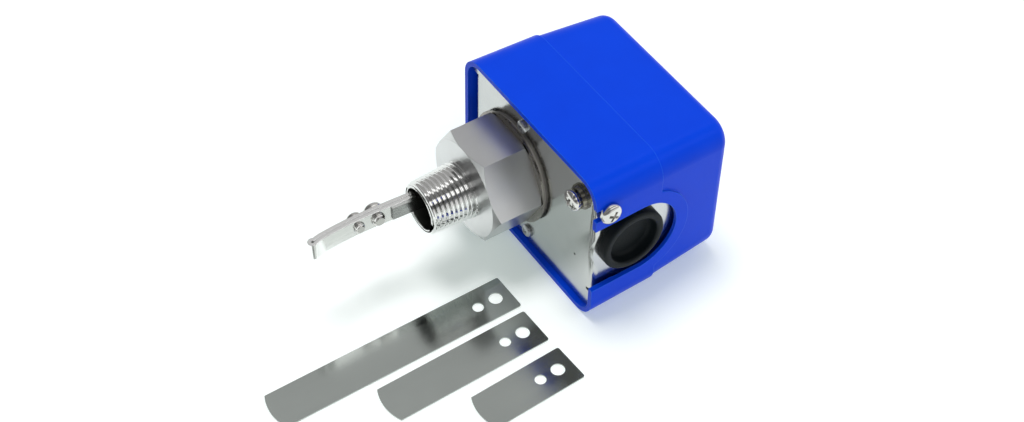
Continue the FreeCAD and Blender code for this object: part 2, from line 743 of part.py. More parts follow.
# ---------------------------------------------------------------- bellows seal
def make_bellows():
    x_end = pivot_x - bellows_end
    x_start = x_end - bellows_length
    pitch = bellows_length / bellows_folds
    outer = []
    inner = []
    valley = bellows_inner_r + bellows_wall
    for fold in range(bellows_folds):
        x = x_start + fold * pitch
        outer += [V(x, valley, 0), V(x + pitch / 2, bellows_r, 0)]
        inner += [V(x, bellows_inner_r, 0), V(x + pitch / 2, bellows_r - bellows_wall, 0)]
    outer.append(V(x_end, valley, 0))
    inner.append(V(x_end, bellows_inner_r, 0))
    inner.reverse()
    return revolve(outer + inner, V(0, 0, 0), X_AXIS)


def make_seal_ring():
    start = V(pivot_x - bellows_end, 0, 0)
    return ring(start, X_AXIS, bore_r - seat_gap, bellows_inner_r, seal_ring_thickness)


def make_seal_cap():
    x = pivot_x - bellows_end - bellows_length - seal_cap_gap - seal_cap_thickness
    return about_pivot(ring(V(x, 0, 0), X_AXIS, seal_cap_r, rod_r + seat_gap, seal_cap_thickness))


# ---------------------------------------------------------------- lever
def make_pivot_block():
    half = block_length / 2
    block = box(pivot_x - half, pivot_x + half, -block_width / 2, block_width / 2,
                -block_height / 2, block_height / 2)
    block = block.makeFillet(block_corner_r, upright_edges(block, block_height))
    block = block.cut(drill(V(pivot_x, 0, -block_height / 2), Z_AXIS, pivot_r + run_gap, block_height))
    seat = box(pivot_x + rocker_start, pivot_x + block_length, -rocker_thickness / 2,
               rocker_thickness / 2, -block_height, block_height)
    seat = seat.cut(rod(V(pivot_x, 0, -block_height), Z_AXIS, pivot_r + pin_wall, 2 * block_height))
    return about_pivot(block.cut(seat))


def make_lever_rod():
    start = pivot_x - rod_reach
    end = pivot_x - block_length / 2
    shape = rod(V(start, 0, 0), X_AXIS, rod_r, end - start)
    slot = box(start - margin, start + blade_in_rod, -blade_thickness / 2, blade_thickness / 2, -rod_r, rod_r)
    return about_pivot(shape.cut(slot))


def make_lever_blade():
    x0 = pivot_x - blade_reach
    x1 = pivot_x - rod_reach + blade_in_rod
    blade = box(x0, x1, -blade_thickness / 2, blade_thickness / 2, -blade_width / 2, blade_width / 2)
    return about_pivot(blade)


def clamp_screw_x(from_end):
    return pivot_x - blade_reach + paddle_behind_blade - from_end


def make_paddle_carrier():
    """Strip folded back on itself at the tip, with a narrow gap between its two layers."""
    half = carrier_thickness + carrier_slit / 2
    start = V(pivot_x - carrier_start, carrier_mid, 0)
    runs = [(carrier_straight, 0), (carrier_bend_length, carrier_bend_r),
            (carrier_tip_length, carrier_tip_r)]
    body, tip, angle = bent_strip(start, 180, runs, -half, half, -carrier_width / 2, carrier_width / 2)
    middle = tip - V(-math.sin(angle), math.cos(angle), 0) * (carrier_fold_r - half)
    foot = V(0, 0, carrier_width / 2)
    fold = rod(middle - foot, Z_AXIS, carrier_fold_r, carrier_width)
    eye = drill(middle - foot, Z_AXIS, carrier_fold_r - carrier_thickness, carrier_width)
    slit, _, _ = bent_strip(start + X_AXIS * margin, 180, [(carrier_straight + margin, 0)] + runs[1:],
                            -carrier_slit / 2, carrier_slit / 2, -carrier_width, carrier_width)
    carrier = body.fuse(fold).removeSplitter().cut(slit).cut(eye)
    for from_end, size in ((big_hole_from_end, m5), (small_hole_from_end, m4)):
        place = V(clamp_screw_x(from_end), blade_thickness / 2, 0)
        carrier = carrier.cut(drill(place, Y_AXIS, size[0] + screw_gap, carrier_outside))
    return about_pivot(carrier)


def make_clamp_screw(from_end, size):
    seat = V(clamp_screw_x(from_end), carrier_outside, 0)
    length = 2 * carrier_thickness + carrier_slit + screw_past_carrier
    return about_pivot(pan_screw(seat, -Y_AXIS, size, length))


def make_rocker():
    """Strip from the pivot block, bent over to a tab that the range spring pushes."""
    straight = rocker_reach - rocker_start - bend_r - rocker_thickness / 2
    turn_r = bend_r + rocker_thickness / 2
    quarter = turn_r * math.pi / 2
    tab = range_y + spring_r - turn_r
    strip, _, _ = bent_strip(V(pivot_x + rocker_start, 0, 0), 0,
                             [(straight, 0), (quarter, turn_r), (tab, 0)],
                             -rocker_thickness / 2, rocker_thickness / 2,
                             -rocker_width / 2, rocker_width / 2)
    around_pin = drill(V(pivot_x, 0, -rocker_width / 2), Z_AXIS, pivot_r + pin_wall, rocker_width)
    tab_x = pivot_x + rocker_reach - rocker_thickness / 2
    hole = drill(V(tab_x, range_y, 0), X_AXIS, rocker_tab_hole_r, rocker_thickness)
    striker = drill(V(striker_x, -rocker_thickness / 2, 0), Y_AXIS, m3[0] + screw_gap, rocker_thickness)
    return about_pivot(strip.cut(around_pin).cut(hole).cut(striker))


def striker_tip_offset():
    """How far the striker's tip is from the lever's middle line, so that it meets the leaf at rest."""
    drop = -leaf_top_y - touch_gap + striker_from_pivot * math.sin(math.radians(rest_tilt))
    return drop / math.cos(math.radians(rest_tilt))


def make_striker_screw():
    tip = -striker_tip_offset()
    top = rocker_thickness / 2 + striker_nut_thickness + striker_past_nut
    shank = rod(V(striker_x, tip + m3[0], 0), Y_AXIS, m3[0], top - tip - m3[0])
    point = Part.makeSphere(m3[0], V(striker_x, tip + m3[0], 0))
    return about_pivot(shank.fuse(point).removeSplitter())


def make_striker_nuts():
    shapes = []
    for side in (1, -1):
        nut = hex_nut(V(striker_x, side * rocker_thickness / 2, 0), Y_AXIS * side, striker_nut_r,
                      m3[0] + screw_gap, striker_nut_thickness)
        shapes.append(about_pivot(nut))
    return group(shapes)


# ---------------------------------------------------------------- snap switch
def make_switch_case():
    half = switch_thickness / 2
    case = box(switch_x0, switch_x0 + switch_length, switch_back_y, switch_face_y, -half, half)
    case = case.makeFillet(switch_corner_r, upright_edges(case, switch_thickness))
    ear_z = leaf_width / 2 + leaf_ear_gap
    for side in (1, -1):
        z0, z1 = sorted((side * ear_z, side * (ear_z + leaf_ear_thickness)))
        ear = box(leaf_hinge_x - leaf_ear_half, leaf_hinge_x + leaf_ear_half, switch_face_y - leaf_ear_root,
                  leaf_mid_y + leaf_pin_r + leaf_ear_past_pin, z0, z1)
        case = case.fuse(ear)
    case = case.cut(rod(V(leaf_hinge_x, leaf_mid_y, -half), Z_AXIS, leaf_pin_r, 2 * half))
    depth = plunger_depth + plunger_room
    well = rod(V(leaf_hinge_x + plunger_from_hinge, switch_face_y - depth, 0), Y_AXIS,
               plunger_r + run_gap, depth + margin)
    case = case.cut(well)
    for x, y in switch_hole_places:
        case = case.cut(drill(V(x, y, -half), Z_AXIS, switch_hole_r, 2 * half))
    return case.removeSplitter()


def make_leaf_pin():
    half = leaf_width / 2 + leaf_ear_gap + leaf_ear_thickness
    return rod(V(leaf_hinge_x, leaf_mid_y, -half), Z_AXIS, leaf_pin_r, 2 * half)


def make_leaf():
    half = leaf_width / 2
    curl_r = leaf_pin_r + run_gap + leaf_thickness
    flat = box(leaf_hinge_x, leaf_hinge_x + leaf_length, leaf_mid_y - leaf_thickness / 2,
               leaf_mid_y + leaf_thickness / 2, -half, half)
    curl = rod(V(leaf_hinge_x, leaf_mid_y, -half), Z_AXIS, curl_r, 2 * half)
    leaf = flat.fuse(curl)
    return leaf.cut(drill(V(leaf_hinge_x, leaf_mid_y, -half), Z_AXIS, leaf_pin_r + run_gap,
                          leaf_width)).removeSplitter()


def make_plunger():
    x = leaf_hinge_x + plunger_from_hinge
    top = leaf_mid_y - leaf_thickness / 2 - touch_gap
    low = switch_face_y - plunger_depth
    shoulder = top - plunger_crown
    stem = rod(V(x, low, 0), Y_AXIS, plunger_r, shoulder - low)
    crown = revolve([V(x, shoulder, 0), V(x + plunger_r, shoulder, 0), V(x + plunger_crown_r, top, 0),
                     V(x, top, 0)], V(x, 0, 0), Y_AXIS)
    return stem.fuse(crown).removeSplitter()


def make_terminals():
    shapes = []
    for place in terminal_places:
        x = switch_x0 + place
        tab = box(x - terminal_width / 2, x + terminal_width / 2, switch_back_y - terminal_length,
                  switch_back_y, -terminal_thickness / 2, terminal_thickness / 2)
        hole = drill(V(x, switch_back_y - terminal_length / 2, -terminal_thickness / 2), Z_AXIS,
                     m3[0] + screw_gap, terminal_thickness)
        shapes.append(tab.cut(hole))
    return group(shapes)


def make_terminal_screws():
    shapes = []
    for place in terminal_places:
        seat = V(switch_x0 + place, switch_back_y - terminal_length / 2, terminal_thickness / 2)
        shapes.append(pan_screw(seat, -Z_AXIS, m3, terminal_screw_length))
    return group(shapes)


def make_switch_spacers():
    z0 = switch_thickness / 2
    shapes = []
    for x, y in switch_hole_places:
        shapes.append(ring(V(x, y, z0), Z_AXIS, spacer_r, m3[0] + screw_gap, cheek_inner - z0))
    return group(shapes)


def make_switch_screws():
    length = cheek_half + switch_thickness / 2 + switch_nut_thickness + switch_screw_past_nut
    return group([pan_screw(V(x, y, cheek_half), -Z_AXIS, m3, length) for x, y in switch_hole_places])


def make_switch_nuts():
    return group([hex_nut(V(x, y, -switch_thickness / 2), -Z_AXIS, switch_nut_r, m3[0] + screw_gap,
                          switch_nut_thickness) for x, y in switch_hole_places])


# ---------------------------------------------------------------- range adjustment
def make_range_screw():
    top = range_seat_x + range_head_height
    head = rod(V(range_seat_x, range_y, 0), X_AXIS, range_head_r, range_head_height)
    edge = [e for e in head.Edges if is_ring_at(e, V(top, range_y, 0))]
    head = head.makeFillet(range_head_edge, edge)
    shank = rod(V(range_seat_x - range_screw_reach, range_y, 0), X_AXIS, m4[0], range_screw_reach)
    groove = ring(V(range_clip_x, range_y, 0), X_AXIS, m4[0] + margin, m4[0] * groove_share,
                  pivot_clip_thickness)
    slot = box(top - range_slot_depth, top + margin, range_y - range_head_r, range_y + range_head_r,
               -range_slot_width / 2, range_slot_width / 2)
    return head.fuse(shank).cut(groove).cut(slot).removeSplitter()


def make_range_nut():
    half = range_nut_width / 2
    far_x = range_nut_x + range_nut_thickness
    nut = box(range_nut_x, far_x, range_y - half, range_y + half, -half, cheek_inner - range_nut_gap)
    tongue = range_guide_width / 2
    nut = nut.fuse(box(range_nut_x, far_x, range_y - tongue, range_y + tongue, 0,
                       cheek_half + range_guide_past_cheek))
    nut = nut.cut(drill(V(range_nut_x, range_y, 0), X_AXIS, m4[0] + run_gap, range_nut_thickness))
    return nut.removeSplitter()


def make_range_spring():
    """Coil spring between the nut and the rocker's tab, with closed ends."""
    tab = V(pivot_x + rocker_reach - rocker_thickness / 2, range_y, 0)
    turn = math.radians(rest_tilt)
    lowest = (tab.x - pivot_x) * math.cos(turn) - (range_y + spring_r) * math.sin(turn)
    lowest_end = (tab.x - pivot_x) * math.cos(turn) - (range_y - spring_r) * math.sin(turn)
    end = pivot_x + min(lowest, lowest_end) - touch_gap - spring_wire_r
    start = range_nut_x + range_nut_thickness + touch_gap + spring_wire_r
    mean_r = spring_r - spring_wire_r
    steps = spring_turns * spring_points_per_turn
    points = []
    for step in range(steps + 1):
        share = step / steps
        angle = 2 * math.pi * spring_turns * share
        points.append(V(start + (end - start) * share, range_y + mean_r * math.cos(angle),
                        mean_r * math.sin(angle)))
    coil = Part.BSplineCurve()
    coil.interpolate(points)
    path = Part.Wire([coil.toShape()])
    section = Part.Wire([Part.Circle(points[0], coil.tangent(coil.FirstParameter)[0],
                                     spring_wire_r).toShape()])
    return path.makePipeShell([section], True, True)


# ---------------------------------------------------------------- spare paddles
def make_spare_paddle(length, corner, turn):
    """Flat paddle on the floor: square end with two holes, and an arc at its far end."""
    half = paddle_width / 2
    sag = paddle_tip_r - math.sqrt(paddle_tip_r ** 2 - half ** 2)
    edges = [Part.LineSegment(V(-length + sag, 0, 0), V(0, 0, 0)),
             Part.LineSegment(V(0, 0, 0), V(0, -paddle_width, 0)),
             Part.LineSegment(V(0, -paddle_width, 0), V(-length + sag, -paddle_width, 0)),
             Part.Arc(V(-length + sag, -paddle_width, 0), V(-length, -half, 0), V(-length + sag, 0, 0))]
    outline = Part.Wire([edge.toShape() for edge in edges])
    paddle = Part.Face(outline).extrude(V(0, 0, paddle_thickness))
    square = [edge for edge in upright_edges(paddle, paddle_thickness)
              if edge.BoundBox.XMin > -same_place]
    paddle = paddle.makeFillet(paddle_corner_r, square)
    for from_end, radius in ((big_hole_from_end, paddle_big_hole_r),
                             (small_hole_from_end, paddle_small_hole_r)):
        paddle = paddle.cut(drill(V(-from_end, -half, 0), Z_AXIS, radius, paddle_thickness))
    paddle.rotate(V(0, 0, 0), Z_AXIS, turn)
    paddle.translate(V(rim_x + corner[0], corner[1], -half_z))
    return paddle


# ---------------------------------------------------------------- every part
parts = {
    "body_fitting": make_body_fitting(),
    "washer_plate": ring(V(disc_x, 0, 0), X_AXIS, disc_r, spigot_r + screw_gap, disc_thickness),
    "body_gasket": ring(V(gasket_x, 0, 0), X_AXIS, gasket_r, spigot_r + screw_gap, gasket_thickness),
    "base_plate": make_base_plate(),
    "lock_nut": make_lock_nut(),
    "cover": make_cover(),
    "conduit_grommet": make_grommet(),
    "cover_screws": make_cover_screws(),
    "earth_screw": make_earth_screw(),
    "earth_spring_washer": make_spring_washer(),
    "earth_cup_washer": make_cup_washer(),
    "earth_flat_washer": earth_ring(0, earth_flat_r, earth_flat),
    "plate_screws": make_plate_screws(),
    "mechanism_frame": make_mechanism_frame(),
    "pivot_pin": make_pivot_pin(),
    "pivot_clips": make_pivot_clips(),
    "bellows": make_bellows(),
    "seal_ring": make_seal_ring(),
    "seal_cap": make_seal_cap(),
    "pivot_block": make_pivot_block(),
    "lever_rod": make_lever_rod(),
    "lever_blade": make_lever_blade(),
    "paddle_carrier": make_paddle_carrier(),
    "clamp_screw_big": make_clamp_screw(big_hole_from_end, m5),
    "clamp_screw_small": make_clamp_screw(small_hole_from_end, m4),
    "rocker": make_rocker(),
    "striker_screw": make_striker_screw(),
    "striker_nuts": make_striker_nuts(),
    "switch_case": make_switch_case(),
    "switch_leaf_pin": make_leaf_pin(),
    "switch_leaf": make_leaf(),
    "switch_plunger": make_plunger(),
    "switch_terminals": make_terminals(),
    "terminal_screws": make_terminal_screws(),
    "switch_spacers": make_switch_spacers(),
    "switch_screws": make_switch_screws(),
    "switch_nuts": make_switch_nuts(),
    "range_screw": make_range_screw(),
    "range_clip": e_clip(V(range_clip_x, range_y, 0), X_AXIS, m4[0], range_clip_r, pivot_clip_thickness),
    "range_nut": make_range_nut(),
    "range_spring": make_range_spring(),
}
for name, length, corner, turn in spare_paddles:
    parts[name] = make_spare_paddle(length, corner, turn)

for name, shape in parts.items():
    save(name, shape)
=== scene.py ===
import math
from collections import namedtuple

import bmesh
import bpy
from mathutils import Matrix, Vector


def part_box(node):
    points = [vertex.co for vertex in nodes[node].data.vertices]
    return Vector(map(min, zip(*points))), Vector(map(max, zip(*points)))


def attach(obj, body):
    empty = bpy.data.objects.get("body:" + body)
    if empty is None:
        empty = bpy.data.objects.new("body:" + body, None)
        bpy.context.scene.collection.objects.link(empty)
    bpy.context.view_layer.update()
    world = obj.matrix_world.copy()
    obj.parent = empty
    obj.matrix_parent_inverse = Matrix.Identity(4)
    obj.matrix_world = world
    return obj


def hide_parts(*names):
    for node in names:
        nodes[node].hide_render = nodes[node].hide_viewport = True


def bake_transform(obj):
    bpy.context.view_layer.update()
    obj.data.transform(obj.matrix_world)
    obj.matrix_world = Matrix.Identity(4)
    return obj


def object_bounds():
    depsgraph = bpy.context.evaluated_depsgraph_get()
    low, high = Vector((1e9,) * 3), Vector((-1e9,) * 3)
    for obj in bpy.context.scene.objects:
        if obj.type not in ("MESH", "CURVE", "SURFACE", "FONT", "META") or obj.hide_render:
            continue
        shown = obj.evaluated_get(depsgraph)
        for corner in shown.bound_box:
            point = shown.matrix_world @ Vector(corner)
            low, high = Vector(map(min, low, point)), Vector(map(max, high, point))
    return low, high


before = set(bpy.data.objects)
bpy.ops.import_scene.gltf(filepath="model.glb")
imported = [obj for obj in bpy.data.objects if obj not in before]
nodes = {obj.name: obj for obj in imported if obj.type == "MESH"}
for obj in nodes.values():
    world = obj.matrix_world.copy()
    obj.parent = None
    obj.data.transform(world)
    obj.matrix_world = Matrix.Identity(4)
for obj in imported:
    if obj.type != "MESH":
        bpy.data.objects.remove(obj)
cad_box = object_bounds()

# Lengths are in millimetres, as in the CAD source, unless a name or a comment says otherwise.
MM = 0.001                      # metres in a millimetre


# ---------------------------------------------------------------- node helpers
MIX_FACTOR, MIX_FIRST, MIX_SECOND = 0, 6, 7     # a mix node's inputs when it mixes colours
MIX_RESULT = 2                                  # its output for a colour
GRAIN_DEPTH = 0.05                              # height of the grain at a strength of 1
HIGHLIGHT_WIDTH = 0.5                                 # radius round a sharp edge that gets the painted highlight


def new_material(name):
    material = bpy.data.materials.new(name)
    material.use_nodes = True
    tree = material.node_tree
    return material, tree, tree.nodes["Principled BSDF"]


def coordinates(tree, stretch=(1, 1, 1)):
    """Object coordinates in millimetres, with each axis multiplied by its own factor."""
    source = tree.nodes.new("ShaderNodeTexCoord")
    mapping = tree.nodes.new("ShaderNodeMapping")
    mapping.inputs["Scale"].default_value = tuple(factor / MM for factor in stretch)
    tree.links.new(source.outputs["Object"], mapping.inputs["Vector"])
    return mapping.outputs["Vector"]


def noise(tree, vector, scale, detail, rough=0.5):
    node = tree.nodes.new("ShaderNodeTexNoise")
    node.inputs["Scale"].default_value = scale
    node.inputs["Detail"].default_value = detail
    node.inputs["Roughness"].default_value = rough
    tree.links.new(vector, node.inputs["Vector"])
    return node.outputs["Fac"]


def spread(tree, value, low, high, from_low=0.3, from_high=0.7):
    """Maps a span of values to another; the usual span is the one that most of a noise lies in."""
    node = tree.nodes.new("ShaderNodeMapRange")
    node.inputs["From Min"].default_value = from_low
    node.inputs["From Max"].default_value = from_high
    node.inputs["To Min"].default_value = low
    node.inputs["To Max"].default_value = high
    tree.links.new(value, node.inputs["Value"])
    return node.outputs["Result"]


def mixed(tree, factor, first, second):
    """A mix of two colours, each given as a plain colour or as another node's output."""
    node = tree.nodes.new("ShaderNodeMix")
    node.data_type = "RGBA"
    for number, value in ((MIX_FIRST, first), (MIX_SECOND, second)):
        socket = node.inputs[number]
        if isinstance(value, tuple):
            socket.default_value = (*value, 1)
        else:
            tree.links.new(value, socket)
    tree.links.new(factor, node.inputs[MIX_FACTOR])
    return node.outputs[MIX_RESULT]


def rounded_normal(tree, radius, samples):
    """The surface's normal as if its sharp edges were rounded."""
    bevel = tree.nodes.new("ShaderNodeBevel")
    bevel.samples = samples
    bevel.inputs["Radius"].default_value = radius * MM
    return bevel.outputs["Normal"]


def bump(tree, shader, height, strength, edge):
    """Gives the shader the grain's relief, and edges that look rounded where edge isn't 0."""
    node = tree.nodes.new("ShaderNodeBump")
    node.inputs["Strength"].default_value = strength
    node.inputs["Distance"].default_value = GRAIN_DEPTH * MM
    tree.links.new(height, node.inputs["Height"])
    if edge:
        tree.links.new(rounded_normal(tree, edge, samples=6), node.inputs["Normal"])
    tree.links.new(node.outputs["Normal"], shader.inputs["Normal"])


def metal(name, colour, dark, rough, grain=(1, 1, 1), grain_scale=1.0,
          edge=0.2, relief=0.08, cloud=0.05, streaks=0.35, vary=0.3):
    """Bare metal: a cloudy tone between dark and colour, and a grain.

    A small factor in grain draws the grain out along that axis. The grain darkens the tone by up
    to streaks, changes the roughness by up to vary either way, and stands out as relief. edge is
    the radius of the soft edges, and cloud is the scale of the clouds.
    """
    material, tree, shader = new_material(name)
    clouds = noise(tree, coordinates(tree), cloud, detail=4)
    lines = noise(tree, coordinates(tree, grain), grain_scale, detail=6, rough=0.65)
    tone = mixed(tree, spread(tree, clouds, 0, 1), dark, colour)
    fine = mixed(tree, spread(tree, lines, 0, streaks), tone, dark)
    tree.links.new(fine, shader.inputs["Base Color"])
    roughness = spread(tree, lines, rough * (1 - vary), rough * (1 + vary))
    tree.links.new(roughness, shader.inputs["Roughness"])
    shader.inputs["Metallic"].default_value = 1.0
    bump(tree, shader, lines, relief, edge)
    return material


def painted_edge_highlight(tree, tone, highlight_colour):
    """A lighter tone painted along the sharp edges: a painted highlight where they would catch the
    light.

    An edge is where the rounded normal and the true one differ, so that their dot product falls.
    """
    surface = tree.nodes.new("ShaderNodeNewGeometry")
    product = tree.nodes.new("ShaderNodeVectorMath")
    product.operation = "DOT_PRODUCT"
    tree.links.new(rounded_normal(tree, HIGHLIGHT_WIDTH, samples=8), product.inputs[0])
    tree.links.new(surface.outputs["Normal"], product.inputs[1])
    share = spread(tree, product.outputs["Value"], 0.8, 0, from_low=0.85, from_high=0.99)
    return mixed(tree, share, tone, highlight_colour)


def plastic(name, colour, shade, rough, relief, grain_scale,
            edge=0.3, shine=0.5, highlight_colour=None):
    """Moulded plastic or rubber: slight change of tone, fine grain, soft edges, and a painted
    highlight along them where a highlight colour is given.
    """
    material, tree, shader = new_material(name)
    plain = coordinates(tree)
    clouds = noise(tree, plain, scale=0.06, detail=3)
    grain = noise(tree, plain, grain_scale, detail=3, rough=0.6)
    tone = mixed(tree, spread(tree, clouds, 0, 1), shade, colour)
    # a lighter colour along the sharp edges: a painted highlight
    if highlight_colour:
        tone = painted_edge_highlight(tree, tone, highlight_colour)
    tree.links.new(tone, shader.inputs["Base Color"])
    tree.links.new(spread(tree, grain, rough * 0.85, rough * 1.2), shader.inputs["Roughness"])
    shader.inputs["Specular IOR Level"].default_value = shine
    bump(tree, shader, grain, relief, edge)
    return material


# ---------------------------------------------------------------- materials
ALONG_X = (0.08, 1.5, 1.5)      # grain of a strip that is rolled along X
ROUND_X = (4, 0.3, 0.3)         # tool marks that run round X

looks = {
    "turned": metal("turned_steel", (0.84, 0.84, 0.83), (0.70, 0.70, 0.69), rough=0.08,
                    grain=(8, 0.15, 0.15), grain_scale=1.2, edge=0.08, relief=0.02, streaks=0.2),
    # painted shade: the bore's near-black colour stands for the shade deep inside it
    "bore": metal("bore_painted_shade", (0.10, 0.10, 0.095), (0.05, 0.05, 0.048), rough=0.45,
                  grain=ROUND_X, edge=0),
    "hexagon": metal("hexagon_steel", (0.68, 0.69, 0.69), (0.62, 0.62, 0.62), rough=0.31,
                     grain=(0.3, 1.5, 1.5), grain_scale=0.3, relief=0.002, streaks=0.06,
                     vary=0.05),
    "plate": metal("plate_steel", (0.60, 0.61, 0.60), (0.53, 0.54, 0.53), rough=0.20,
                   grain_scale=0.12, edge=0, relief=0.002, streaks=0.08, vary=0.1),
    "disc": metal("disc_steel", (0.33, 0.31, 0.28), (0.24, 0.22, 0.20), rough=0.3,
                  grain_scale=0.5, edge=0.1, streaks=0.1),
    "strip": metal("strip_steel", (0.96, 0.96, 0.95), (0.90, 0.90, 0.89), rough=0.12,
                   grain=ALONG_X, grain_scale=0.6, edge=0.4, relief=0.004, streaks=0.1),
    "blade": metal("blade_steel", (0.46, 0.47, 0.465), (0.40, 0.41, 0.40), rough=0.20,
                   grain=ALONG_X, grain_scale=0.6, edge=0.1, relief=0.004, streaks=0.1),
    "paddle": metal("paddle_steel", (0.50, 0.535, 0.51), (0.43, 0.46, 0.44), rough=0.16,
                    grain=(0.03, 0.4, 0.4), grain_scale=0.5, edge=0.05, relief=0.002, cloud=0.02,
                    streaks=0.1),
    "zinc": metal("zinc_steel", (0.60, 0.61, 0.62), (0.45, 0.46, 0.47), rough=0.32,
                  grain_scale=0.6),
    "nickel": metal("nickel_screw", (0.80, 0.79, 0.77), (0.62, 0.61, 0.59), rough=0.14,
                    grain_scale=0.8, edge=0.12),
    "dull": metal("dull_nickel", (0.28, 0.27, 0.22), (0.17, 0.16, 0.13), rough=0.25,
                  grain_scale=0.8, edge=0.1),
    "spring": metal("spring_steel", (0.50, 0.50, 0.50), (0.32, 0.32, 0.32), rough=0.25, edge=0.05),
    "brass": metal("brass_turned", (0.72, 0.52, 0.22), (0.52, 0.36, 0.14), rough=0.25,
                   grain=ROUND_X),
    "bronze": metal("bronze_sheet", (0.66, 0.40, 0.24), (0.46, 0.26, 0.15), rough=0.28,
                    grain=ROUND_X, edge=0.05),
    # the lighter colour along the cover's edges is a painted highlight
    "blue": plastic("blue_moulded", (0.000, 0.058, 0.76), (0.000, 0.053, 0.72), rough=0.34,
                    relief=0.04, grain_scale=2.2, shine=0.1, highlight_colour=(0.02, 0.16, 0.85)),
    "black": plastic("black_moulded", (0.020, 0.020, 0.021), (0.014, 0.014, 0.015), rough=0.45,
                     relief=0.15, grain_scale=3.0),
    "red": plastic("red_moulded", (0.55, 0.03, 0.02), (0.42, 0.02, 0.015), rough=0.4,
                   relief=0.1, grain_scale=3.0),
    "rubber": plastic("black_rubber", (0.004, 0.007, 0.009), (0.002, 0.004, 0.005), rough=0.5,
                      relief=0.1, grain_scale=1.6, edge=0.4, shine=0.16),
    "fibre": plastic("fibre_gasket", (0.44, 0.42, 0.38), (0.32, 0.30, 0.27), rough=0.7,
                     relief=0.3, grain_scale=2.5, edge=0.1, shine=0.3),
}

nodes_by_look = {
    "hexagon": ["body_fitting"],
    "plate": ["base_plate"],
    "disc": ["washer_plate"],
    "fibre": ["body_gasket"],
    "blue": ["cover"],
    "rubber": ["conduit_grommet"],
    "black": ["switch_case"],
    "red": ["switch_plunger"],
    "strip": ["paddle_carrier"],
    "blade": ["lever_blade"],
    "paddle": ["spare_paddle_long", "spare_paddle_medium", "spare_paddle_short"],
    "turned": ["pivot_pin", "lever_rod", "switch_leaf_pin"],
    "zinc": ["lock_nut", "plate_screws", "mechanism_frame", "rocker", "switch_spacers"],
    "nickel": ["cover_screws", "earth_screw", "clamp_screw_big", "clamp_screw_small",
               "striker_screw", "striker_nuts", "terminal_screws", "switch_screws", "switch_nuts",
               "range_screw"],
    "dull": ["earth_spring_washer", "earth_cup_washer", "earth_flat_washer"],
    "spring": ["pivot_clips", "switch_leaf", "range_clip", "range_spring"],
    "brass": ["seal_ring", "seal_cap", "pivot_block", "switch_terminals", "range_nut"],
    "bronze": ["bellows"],
}
for look, names in nodes_by_look.items():
    for name in names:
        data = nodes[name].data
        data.materials.clear()
        data.materials.append(looks[look])


# ---------------------------------------------------------------- mesh helpers
SMOOTH_BELOW = math.radians(32)     # edges that turn less than this are shaded smooth
ON_AXIS = 1e-6                      # a smaller radius counts as a point on the axis
SAME_PLACE_DIGITS = 5               # points that agree to so many digits count as one

# A thread's form over one pitch, as (share of the pitch, share of the depth), from one root's flat
# up the flank to the crest's flat and down to the next root.
THREAD_FORM = ((0.0, 1.0), (0.12, 1.0), (0.42, 0.0), (0.60, 0.0), (0.90, 1.0))


def add_object(name, bm, look, body, *replaced):
    """Finishes a piece: shading with sharp edges, a material, a body, the nodes it replaces."""
    bmesh.ops.recalc_face_normals(bm, faces=bm.faces)
    for face in bm.faces:
        face.smooth = True
    for edge in bm.edges:
        edge.smooth = len(edge.link_faces) == 2 and edge.calc_face_angle(0) < SMOOTH_BELOW
    data = bpy.data.meshes.new(name)
    bm.to_mesh(data)
    bm.free()
    data.materials.append(looks[look])
    piece = bpy.data.objects.new(name, data)
    bpy.context.scene.collection.objects.link(piece)
    if body:
        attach(piece, body)
    if replaced:
        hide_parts(*replaced)
    return piece


def on_circle(bm, along, radius, angle):
    """A new point round the local X axis."""
    return bm.verts.new((along, radius * math.cos(angle), radius * math.sin(angle)))


def lathe(bm, profile, steps):
    """Turns (along, radius) points about the local X axis; the ends may lie on the axis."""
    rows = []
    for along, radius in profile:
        if radius < ON_AXIS:
            rows.append([bm.verts.new((along, 0, 0))])
        else:
            rows.append([on_circle(bm, along, radius, 2 * math.pi * step / steps)
                         for step in range(steps)])
    for first, second in zip(rows, rows[1:]):
        for step in range(steps):
            after = (step + 1) % steps
            corners = [first[step % len(first)], first[after % len(first)],
                       second[after % len(second)], second[step % len(second)]]
            unique = list(dict.fromkeys(corners))
            if len(unique) > 2:
                bm.faces.new(unique)


def helix(bm, crest, depth, pitch, start, stop, runout, steps):
    """Thread along local X between two planes.

    crest gives the outer radius at a place along X. The thread grows shallow over the runout, at
    its far end, and what would lie past a plane is pressed flat on to it.
    """
    first = int((start - pitch) / pitch * steps)
    last = int(stop / pitch * steps) + steps
    rows = []
    for number in range(first, last + steps + 1):
        row = []
        for share, deep in THREAD_FORM:
            along = min(max(pitch * (number / steps + share), start), stop)
            fade = min(max((stop - along) / runout, 0), 1)
            radius = crest(along) - depth * deep * fade
            row.append(on_circle(bm, along, radius, 2 * math.pi * number / steps))
        rows.append(row)

    def corner(number, part):
        """A point of a row; past the row's end comes the first point of the row one turn on."""
        return rows[number][part] if part < len(THREAD_FORM) else rows[number + steps][0]

    for number in range(last - first):
        for part in range(len(THREAD_FORM)):
            corners = [corner(number, part), corner(number + 1, part),
                       corner(number + 1, part + 1), corner(number, part + 1)]
            spots = {tuple(round(v, SAME_PLACE_DIGITS) for v in vert.co) for vert in corners}
            if len(spots) > 2:
                bm.faces.new(corners)
    loose = [vert for vert in bm.verts if not vert.link_faces]
    bmesh.ops.delete(bm, geom=loose, context="VERTS")


def place(bm, origin, direction, turn=0.0):
    """Moves local millimetres, whose X is the direction, to metres in the frame."""
    axis = Vector(direction).normalized()
    rotation = axis.to_track_quat("X", "Z").to_matrix().to_4x4() @ Matrix.Rotation(turn, 4, "X")
    matrix = Matrix.Scale(MM, 4) @ Matrix.Translation(Vector(origin)) @ rotation
    bmesh.ops.transform(bm, matrix=matrix, verts=bm.verts)


